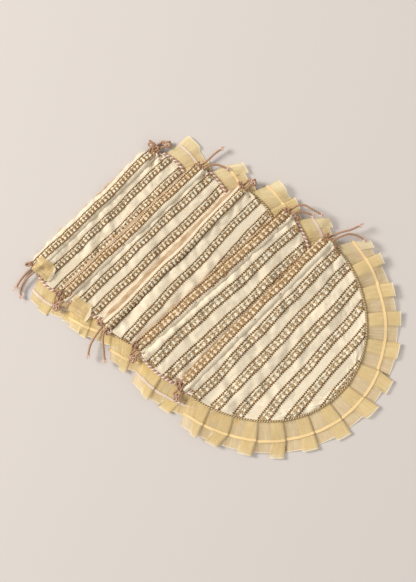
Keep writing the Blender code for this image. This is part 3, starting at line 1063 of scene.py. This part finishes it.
def addStitchLines(lay):
    style = stripes[lay.name]
    size = style["bandWide"] / 8.8
    places = []
    for count, _ in stripeCounts(lay):
        for point, aside, below, up in rowPlaces(lay, count, 2.35 * mm * size, 0.8 * mm):
            high = mix(0.25, 0.7, openShare(lay, *lay.locate(point)))
            places.append((point, aside * 0.88 * mm * size, below * 1.2 * mm * size, up * high * mm))
    return copies(lay.name + "_stitchBeads", places, domeShape, domeFaces, looks["stitch"])


# rows of floats in a lattice band: how far down, half length, half depth, tilt
floatRows = [(2.2, 2.0, 0.88, 0.35), (4.3, 0.85, 0.6, 0.8), (6.3, 1.6, 1.5, 0.15)]

# a float is three yarns side by side, dipping into the cloth at both ends
floatArch = [(-1.0, -0.2), (-0.72, 0.75), (0.0, 1.0), (0.72, 0.75), (1.0, -0.2)]
floatRidges = [(-1.0, -0.3), (-0.8, 0.75), (-0.55, 0.9), (-0.3, 0.55), (0.0, 1.0)]
floatRidges += [(-y, ridge) for y, ridge in reversed(floatRidges[:-1])]
floatShape = [(x, y, min(ridge, arch, ridge * arch)) for y, ridge in floatRidges for x, arch in floatArch]
floatFaces = gridFaces(len(floatRidges), len(floatArch))


def addFloats(lay):
    # loose yarns in each lattice band: slanted bars above, short ones between, squares below
    style = stripes[lay.name]
    size = style["bandWide"] / 8.8
    pitch = 5.4 * mm * size
    chance = random.Random(lay.name + "floats")
    places = []
    mouthPlaces = []  # on the copper ground the yarns are browner
    for count in [start for start, isUpper in stripeCounts(lay) if isUpper]:
        here = mouthPlaces if count < style["copper"] - style["bandWide"] + 2 else places
        for row, long, deep, tilt in floatRows:
            for point, aside, below, up in rowPlaces(lay, count + row * size, pitch, 2.2 * mm):
                lean = tilt + chance.uniform(-0.35, 0.35)
                wide = aside * long * chance.uniform(0.6, 1.2) * mm * size
                tall = below * deep * chance.uniform(0.7, 1.15) * mm * size
                high = mix(0.25, 0.75, openShare(lay, *lay.locate(point))) * mm
                point = point + below * chance.uniform(-0.35, 0.35) * mm
                point = point + aside * chance.uniform(-0.5, 0.5) * mm
                here.append((point, wide - tall * lean, tall + wide * lean, up * high))
    pieces = [copies(lay.name + "_latticeFloats", places, floatShape, floatFaces, looks["float"])]
    if mouthPlaces:
        name = lay.name + "_mouthFloats"
        pieces.append(copies(name, mouthPlaces, floatShape, floatFaces, looks["mouthFloat"]))
    return pieces


def addTrims(lay):
    for piece in (addStitchLines(lay), *addFloats(lay)):
        settle(piece, lay.name, "striped_cloth")


# Seam braid: two plies twisted round each other along the seam, sizes in millimetres

braids = {
    "rose": {"ply": 1.0, "spin": 0.85, "pitch": 4.2, "out": 1.3, "z": 2.0, "slot": "rose_braid"},
    "gold": {"ply": 0.5, "spin": 0.42, "pitch": 2.6, "out": 0.9, "z": 1.9, "slot": "gold_piping"},
}
braidOf = {"pouch_1": "rose", "pouch_2": "rose", "pouch_3": "gold", "pouch_4": "rose", "pouch_5": "gold"}


def braidLook(name, dark, light):
    shade = Shader(name)
    around, along = shade.cloth()
    fibres = ((around * 1.6 + along * 2.2) * 2.0).maths("SINE") * 0.5 + 0.5
    fuzz = shade.spots(around, along, 0.9, 3.0)
    # painted shade: darker in the grooves between the fibres
    colour = shade.colours(fibres * 0.55 + fuzz * 0.45, dark, light)
    return shade.finish(colour, 0.5, shade.bump(fibres, 0.00025, 0.7), Sheen_Weight=0.35)


def addBraid(lay):
    kind = braidOf[lay.name]
    ply, spin, pitch, out, high = (braids[kind][key] * mm for key in ("ply", "spin", "pitch", "out", "z"))
    lengths, angles = lay.seamTable(lay.casingDepth + 0.8 * mm)
    stations = []
    for mark in np.arange(0.0, lengths[-1], pitch / 9):
        angle = float(np.interp(mark, lengths, angles))
        place = lay.seam(angle, out)
        inner = lay.seam(angle, out - mm)
        openPart = openShare(lay, place.x, place.y)
        raised = mix(1.2 * mm, high, (openPart - 0.2) / 0.8)
        middle = lay.point(place.x, place.y, lay.base(place.x, place.y) + raised)
        side = (middle - lay.point(inner.x, inner.y, middle.z)).normalized()
        stations.append((math.tau * mark / pitch, middle, side * spin, spin * 0.8 * openPart))
    for look, turned, thick in ((kind + "Light", 0.0, ply * 1.08), (kind + "Dark", math.pi, ply * 0.85)):
        line = []
        for turn, middle, side, lift in stations:
            swing = Vector((0, 0, lift * math.sin(turn + turned)))
            line.append(middle + side * math.cos(turn + turned) + swing)
        piece = tubePiece(lay.name + "_braid" + look, line, thick, looks[look], 7)
        settle(piece, lay.name, braids[kind]["slot"], lay.name + "_seam_braid")


# Frill: a strip of organza in knife pleats, three layers thick behind each fold

pleats = {
    "pitch": 25 * mm,
    "deep": 12 * mm,
    "layer": 0.28 * mm,
    "openLayer": 0.45 * mm,  # how much more the layers part where nothing lies on them
    "rest": 0.4 * mm,
    "underShare": 0.925,
    "foldShare": 0.985,
    "ribbonShare": 0.565,
    "ribbonWide": 2.9 * mm,
    "flare": 5.0 * mm,
    "skew": 2.2 * mm,
    "seamGap": 0.5 * mm,
    "endLean": 11 * mm,
    "endReach": 34 * mm,  # how far from a frill's ends it leans
    "lift": 1.8 * mm,
    "hemFrom": 1.8 * mm,
}


def pleatLevel(share, pitch):
    # layers under the top one, along a tab from its start to its leading fold
    return 2.0 * ease(share * pitch / (pitch - pleats["deep"]))


def stripStations(tabs, pitch):
    # (distance along the seam, layer height, how much the fold shape acts, tab, distance along the strip)
    stations = []
    walked = 0.0
    deep = pleats["deep"]
    foldStart = 1.0 - deep / pitch
    shares = [0.0, 0.1, 0.2, 0.3, foldStart - 0.1, foldStart - 0.03, foldStart + 0.02, foldStart + 0.06]
    shares += [0.68, 0.8, 0.9, 1.0]
    for tab in range(tabs):
        start, end = tab * pitch, (tab + 1) * pitch
        for share in shares:
            along = share * pitch
            act = ease((along - pitch + deep) / (0.16 * deep) + 0.5)
            stations.append((start + along, pleatLevel(share, pitch), act, tab, walked + along))
        walked += pitch
        if tab == tabs - 1:
            break
        stations.append((end + 0.12 * mm, 1.5, 1.0, tab, walked + 0.2 * mm))
        for share in np.linspace(0.0, 1.0, 5):
            stations.append((end - share * deep, 1.0, 1.0 - share * 0.8, tab, walked + share * deep))
        walked += deep
        stations.append((end - deep - 0.12 * mm, 0.5, 0.2, tab, walked + 0.2 * mm))
        for share in np.linspace(0.0, 0.9, 5):
            stations.append((end - deep + share * deep, 0.0, 0.0, tab, walked + share * deep))
        walked += deep
    return stations, walked


# pouches 1 to 4 take a brighter, denser copy of the gold organza, painted brighter for the strong light on
# their frills
organzaOf = dict.fromkeys(pouchNames, "amber") | {"pouch_5": "organza"}

# one pleat in millimetres along the strip: the triple part, its fold, and the shade beside the last
# fold; the hem is where the dense woven edge starts on the cloth's own count
organzaPleat = {
    "repeat": 49.0,
    "foldStart": 13.4,
    "fold": 25.0,
    "creaseHalf": 0.35,
    "shadeEnd": 1.6,
    "hem": 1.0,
}

organzaTints = {
    "shade": (0.50, 0.29, 0.07),
    # painted shade along a fold's crease
    "crease": (0.48, 0.27, 0.07),
    "cloud": (1.0, 0.86, 0.56),
    # painted glints on bright threads
    "thread": (1.0, 0.90, 0.62),
    "hem": (1.0, 0.90, 0.66),
}


def organzaLook(name, dark, light, fold, dense):
    # sheer gold organza: crossing fine threads, denser where it folds; the folded part is painted brighter,
    # partly for its extra layers and partly as painted light, with painted shade beside each fold and along
    # its crease, and painted glints on the threads
    shade = Shader(name)
    along, out = shade.cloth()
    threads = (along * 9.0).maths("SINE") * 0.5 + 0.5
    picks = (out * 9.0).maths("SINE") * 0.5 + 0.5
    weave = threads.maths("MAXIMUM", picks)
    streaks = shade.spots(along * 1.3, out * 0.08, 0.55, 3.0)
    clouds = shade.spots(along, out, 0.07, 2.0)
    colour = shade.colours(streaks, dark, light)
    inPleat = (along / organzaPleat["repeat"]).maths("FRACT") * organzaPleat["repeat"]
    # painted brighter over the folded part: partly its extra layers, partly painted light
    folded = (inPleat > organzaPleat["foldStart"]) * (inPleat < organzaPleat["fold"])
    colour = shade.colours(folded * 0.55, colour, fold)
    shaded = inPleat < organzaPleat["shadeEnd"]
    colour = shade.colours(shaded * 0.45, colour, organzaTints["shade"])
    # painted shade: a dark line along each fold's crease
    crease = (inPleat - organzaPleat["fold"]).maths("ABSOLUTE") < organzaPleat["creaseHalf"]
    colour = shade.colours(crease * 0.5, colour, organzaTints["crease"])
    colour = shade.colours(clouds * 0.5, colour, organzaTints["cloud"])
    # painted glints: brighter threads where the streaks are bright
    colour = shade.colours((streaks > 0.6) * weave * 0.4, colour, organzaTints["thread"])
    alpha = (weave * 0.18 + streaks * 0.24 + clouds * 0.12 + dense).maths("MINIMUM", 0.95)
    edge = out > organzaPleat["hem"]
    colour = shade.colours(edge * 0.7, colour, organzaTints["hem"])
    alpha = (alpha + edge * 0.3).maths("MINIMUM", 0.98)
    normal = shade.bump(weave * 0.4 + streaks, 0.0005, 0.5)
    return shade.finish(colour, 0.48, normal, Alpha=alpha, Sheen_Weight=0.3, Sheen_Roughness=0.35)


def ribbonLook(name, dark, light):
    shade = Shader(name)
    along, out = shade.cloth()
    stitches = (along * 3.4).maths("SINE") * 0.5 + 0.5
    grain = shade.spots(along, out, 1.0, 3.0)
    edge = (out / 3.2 - 0.5).maths("ABSOLUTE") > 0.33
    colour = shade.colours(grain, light, tuple(0.5 * (a + b) for a, b in zip(dark, light)))
    colour = shade.colours(edge * stitches * 0.7, colour, dark)
    return shade.finish(colour, 0.42, shade.bump(stitches * edge, 0.0003, 0.6), Sheen_Weight=0.3)


def frillOpen(lay, place):
    # 1 where a frill lies open, 0 where a later pouch or its frill lies on it
    spot = lay.flat(place.x, place.y)
    for later in lays[lays.index(lay) + 1 :]:
        across, down = later.locate(Vector((spot.x, spot.y, 0.0)))
        if down > -6 * mm and abs(across) < later.mouthHalf + 40 * mm:
            return 0.0
    return 1.0


def frillShape(lay):
    # the frill's seam, its number of tabs and their pitch, and how each tab flares, lifts and skews
    lengths, angles = lay.seamTable(layering["frillStart"])
    tabs = max(3, round(lengths[-1] / pleats["pitch"]))
    chance = random.Random(lay.name)
    moods = []
    for _ in range(tabs):
        moods.append((chance.uniform(-1.0, 0.45), chance.uniform(0.3, 1.0), chance.uniform(-1, 1)))
    return lengths, angles, tabs, lengths[-1] / tabs, moods


def leaned(distance, whole, share):
    # near the frill's ends its outer edge leans towards the bottom of the pouch
    lean = pleats["endLean"] * share
    distance += lean * (1.0 - ease(distance / pleats["endReach"]))
    return distance - lean * (1.0 - ease((whole - distance) / pleats["endReach"]))


def frillPoint(lay, shape, station, share):
    lengths, angles, _, pitch, moods = shape
    distance, level, act, tab, _ = station
    flare, lift, skew = moods[tab]
    past = ease((share - pleats["ribbonShare"]) / (1.0 - pleats["ribbonShare"]))
    tipped = (distance / pitch - tab) * 0.07  # the fold's outer corner reaches furthest
    distance += flare * pleats["flare"] * past * act + skew * pleats["skew"] * (share - 0.3)
    distance = leaned(distance, lengths[-1], share)
    angle = float(np.interp(min(max(distance, 0.0), lengths[-1]), lengths, angles))
    longer = mix(pleats["underShare"], pleats["foldShare"] + 0.045 * skew + tipped, act * past)
    gap = pleats["seamGap"]
    out = gap + lay.frillOut(angle, share * longer) * (1.0 - gap / max(lay.reach))
    place = lay.seam(angle, out)
    openPart = frillOpen(lay, place)
    rest = lay.base(place.x, place.y) + pleats["rest"]
    rest += level * (pleats["layer"] + openPart * pleats["openLayer"] * ease((out - 2 * mm) / (6 * mm)))
    ripple = rough(distance / 0.006, out / 0.02, lay.mouthHalf * 400 + level * 3)
    rest += openPart * (past * act * lift * pleats["lift"] + (0.12 + 0.35 * past) * mm * abs(ripple))
    return lay.point(place.x, place.y, rest)


def addFrill(lay):
    shape = frillShape(lay)
    stations, stripLength = stripStations(*shape[2:4])
    shares = [0.0, 0.08, 0.18, 0.3, 0.4, 0.5, 0.56, 0.62, 0.7, 0.78, 0.86, 0.94, 1.0]
    wide = max(lay.reach)
    count = organzaPleat["repeat"] * mm / (shape[3] + 2 * pleats["deep"])
    points = [frillPoint(lay, shape, station, share) for station in stations for share in shares]
    cloth = [(at[4] * count, (share - 1.0) * wide + pleats["hemFrom"]) for at in stations for share in shares]
    faces = gridFaces(len(stations), len(shares))
    frill = meshPiece(lay.name + "_pleatedFrill", points, faces, looks[organzaOf[lay.name]], cloth)
    settle(frill, lay.name, "organza", lay.name + "_frill")
    addRibbon(lay, shape)


def addRibbon(lay, shape):
    lengths, angles, tabs, pitch, moods = shape
    rows = [(0.0, 0.0), (0.12, 0.28), (0.3, 0.3), (0.5, 0.1), (0.7, 0.3), (0.88, 0.28), (1.0, 0.0)]
    shares = [0.008, 0.06, 0.15, 0.28, 0.4, 0.52, 0.64, 0.76, 0.88, 0.96, 0.992]
    points = []
    cloth = []
    for tab, share in [(tab, share) for tab in range(tabs) for share in shares]:
        distance = leaned((tab + share) * pitch, lengths[-1], pleats["ribbonShare"])
        angle = float(np.interp(distance, lengths, angles))
        middle = pleats["seamGap"] + lay.frillOut(angle, pleats["ribbonShare"])
        middle += (moods[tab][2] + rough(distance / 0.007, 0, 4.4)) * 0.5 * mm
        for row, high in rows:
            place = lay.seam(angle, middle + (row - 0.5) * pleats["ribbonWide"])
            layer = pleats["layer"] + frillOpen(lay, place) * pleats["openLayer"]
            z = lay.base(place.x, place.y) + pleats["rest"] + pleatLevel(share, pitch) * layer
            points.append(lay.point(place.x, place.y, z + (0.35 + high) * mm))
            cloth.append((distance, row * pleats["ribbonWide"]))
    look = "pinkRibbon" if lay.name in ("pouch_1", "pouch_4") else "goldRibbon"
    faces = gridFaces(tabs * len(shares), len(rows))
    ribbon = meshPiece(lay.name + "_frillRibbon", points, faces, looks[look], cloth)
    settle(ribbon, lay.name, "gold_ribbon", lay.name + "_frill_ribbon")


# Corner bunches, where the braid's ends are knotted, and flaps of frill folded back over a corner

# each bunch's side (-1 is left) and size
bunches = {
    "pouch_1": [(-1, 0.9), (1, 1.2)],
    "pouch_2": [(-1, 1.2), (1, 0.7)],
    "pouch_3": [(-1, 0.9), (1, 0.6)],
    "pouch_4": [(-1, 1.0), (1, 0.9)],
    "pouch_5": [(-1, 1.45), (1, 0.8)],
}

# a bunch's strands: the yarn, its thickness in millimetres, and whether it keeps outside the cord's loop
strands = [
    ("cord", 1.0, True),
    ("roseDark", 0.6, False),
    ("cord", 0.95, True),
    ("cordTip", 0.5, False),
    ("roseLight", 0.6, False),
    ("cord", 0.9, False),
]


def bunchLine(chance, middle, size):
    # one or two uneven turns round the middle, wider as they go
    tilt = chance.uniform(0, math.tau)
    squeeze = chance.uniform(0.35, 0.8)
    swirl = Vector((math.cos(tilt), math.sin(tilt), 0.0))
    other = Vector((-swirl.y, swirl.x, 0.0)) * squeeze
    line = []
    for t in np.linspace(0, math.tau * chance.uniform(1.3, 1.9), 34):
        reach = (2.0 + 0.9 * math.sin(2.3 * t + tilt) + 0.16 * t) * size * mm
        high = Vector((0, 0, math.sin(1.7 * t + tilt) * 0.7 * mm))
        line.append(middle + (swirl * math.cos(t) + other * math.sin(t)) * reach + high)
    return line


def addBunch(lay, side, size):
    # loops of pale and rose yarn and of cord, tied round a corner
    chance = random.Random(lay.name + str(side) + "bunch")
    loopSide = side == -cordEnds[lay.name][0]
    for strand, (look, thick, outside) in enumerate(strands):
        out = chance.uniform(-2.2, 1.6) * size
        down = 2.5 + strand * 2.7 + chance.uniform(-1, 1)
        high = 2.9 + chance.uniform(-0.5, 0.5)
        if loopSide and outside:
            out += 1.0
            down = 2.0 + strand * 2.0
            high += 1.0
        elif loopSide:
            out -= 1.8
            high -= 0.4
        z = lay.frontZ + (high - down * 0.2) * mm
        middle = lay.point(side * (lay.mouthHalf + out * mm), down * mm, z)
        name = f"{lay.name}_bunch{'L' if side < 0 else 'R'}{strand}"
        piece = tubePiece(name, bunchLine(chance, middle, size), thick * mm, looks[look], 7)
        settle(piece, lay.name, "copper_cord" if look == "cord" else braids[braidOf[lay.name]]["slot"])


# where each flap lies, in from the left corner and down from the mouth, and its size in millimetres
flaps = {
    "pouch_1": {"inward": 0.0, "down": 6.5, "wide": 14.0, "long": 20.0, "turned": 12.0},
    "pouch_2": {"inward": -1.0, "down": 19.0, "wide": 14.0, "long": 21.0, "turned": 18.0},
}


def addFlap(lay):
    # two layers of organza, folded back over the corner
    inward, downTo, wide, long, turned = flaps[lay.name].values()
    turn = math.radians(turned)
    points = []
    cloth = []
    rows, columns = 13, 10
    for layer in range(2):
        for row, column in [(row, column) for row in range(rows) for column in range(columns)]:
            aside = column / (columns - 1)
            slack = rough(row * 0.22, layer * 3.0, wide) * 1.8
            sag = 2.2 * math.sin(math.pi * aside) - 1.5 * aside
            x = mix(-3.0, wide - 1.4 * layer + slack, aside) * mm
            y = mix(0.3 * sag, long + 1.2 * layer + sag, row / (rows - 1)) * mm
            across = -lay.mouthHalf + inward * mm + x * math.cos(turn) + y * math.sin(turn) * 0.6
            down = downTo * mm + y * math.cos(turn) - x * math.sin(turn)
            top = max(frontHeight(lay, across, down), lay.frontZ - 1.6 * mm) + (0.95 + 0.5 * layer) * mm
            top += ease(x / (wide * mm)) * 1.1 * mm + rough(x * 160, y * 160, layer * 160) * 0.6 * mm
            points.append(lay.point(across, down, top))
            cloth.append((x * 0.8 + 3 * mm, y - long * mm + pleats["hemFrom"]))
    faces = gridFaces(rows, columns)
    faces += [tuple(corner + rows * columns for corner in face) for face in faces]
    flap = meshPiece(lay.name + "_foldedFlap", points, faces, looks["organza"], cloth)
    settle(flap, lay.name, "organza")


# Everything in order

addCamera()
for lampName, lampFacts in lamps.items():
    addLamp(lampName, lampFacts)
addSky()
addFloor()
print("camera, lights and floor ready")

looks = {
    "cord": satinCordLook(),
    "cordTip": cordTipLook(),
    "plain": Shader("plainGuide").finish((0.5, 0.5, 0.5)),
    "stitch": threadLook("brownStitchYarn", (0.088, 0.036, 0.009), (0.25, 0.122, 0.032), 0.05),
    "float": threadLook("creamFloatYarn", (0.88, 0.76, 0.52), (1.0, 0.97, 0.84), 0.15),
    "mouthFloat": threadLook("copperFloatYarn", (0.66, 0.46, 0.26), (1.0, 0.90, 0.71), 0.2),
    "organza": organzaLook("goldOrganza", (0.70, 0.42, 0.11), (1.0, 0.77, 0.35), (1.0, 0.80, 0.37), 0.22),
    # a brighter, denser copy of the gold organza: painted light on the frills of pouches 1 to 4
    "amber": organzaLook("amberOrganza", (0.84, 0.51, 0.12), (1.0, 0.79, 0.33), (1.0, 0.82, 0.37), 0.3),
    "goldRibbon": ribbonLook("goldRibbon", (0.74, 0.44, 0.13), (1.0, 0.77, 0.41)),
    "pinkRibbon": ribbonLook("pinkRibbon", (0.50, 0.27, 0.15), (0.93, 0.79, 0.64)),
    "roseLight": braidLook("roseBraidLight", (0.70, 0.45, 0.34), (0.97, 0.82, 0.72)),
    "roseDark": braidLook("roseBraidDark", (0.26, 0.12, 0.07), (0.56, 0.31, 0.20)),
    "goldLight": braidLook("goldPipingLight", (0.62, 0.42, 0.16), (0.92, 0.74, 0.42)),
    "goldDark": braidLook("goldPipingDark", (0.10, 0.045, 0.018), (0.30, 0.15, 0.06)),
}
for pouchName in pouchNames:
    looks[pouchName + "Cloth"] = stripedClothLook(pouchName)

for lay in lays:
    addCord(lay)
print("drawcords laid")

for lay in lays:
    lay.puckers = simulatedPuckers(lay)
print("cloth puckered")

for lay in lays:
    addPanels(lay)
    addCasing(lay, "backCasing", "_back_casing", lay.mouthZ)
    addCasing(lay, "frontCasing", "_front_casing", lay.frontZ)
    addTrims(lay)
    addBraid(lay)
    addFrill(lay)
    for side, size in bunches[lay.name]:
        addBunch(lay, side, size)
    if lay.name in flaps:
        addFlap(lay)
    print(lay.name, "dressed")

bpy.context.view_layer.update()
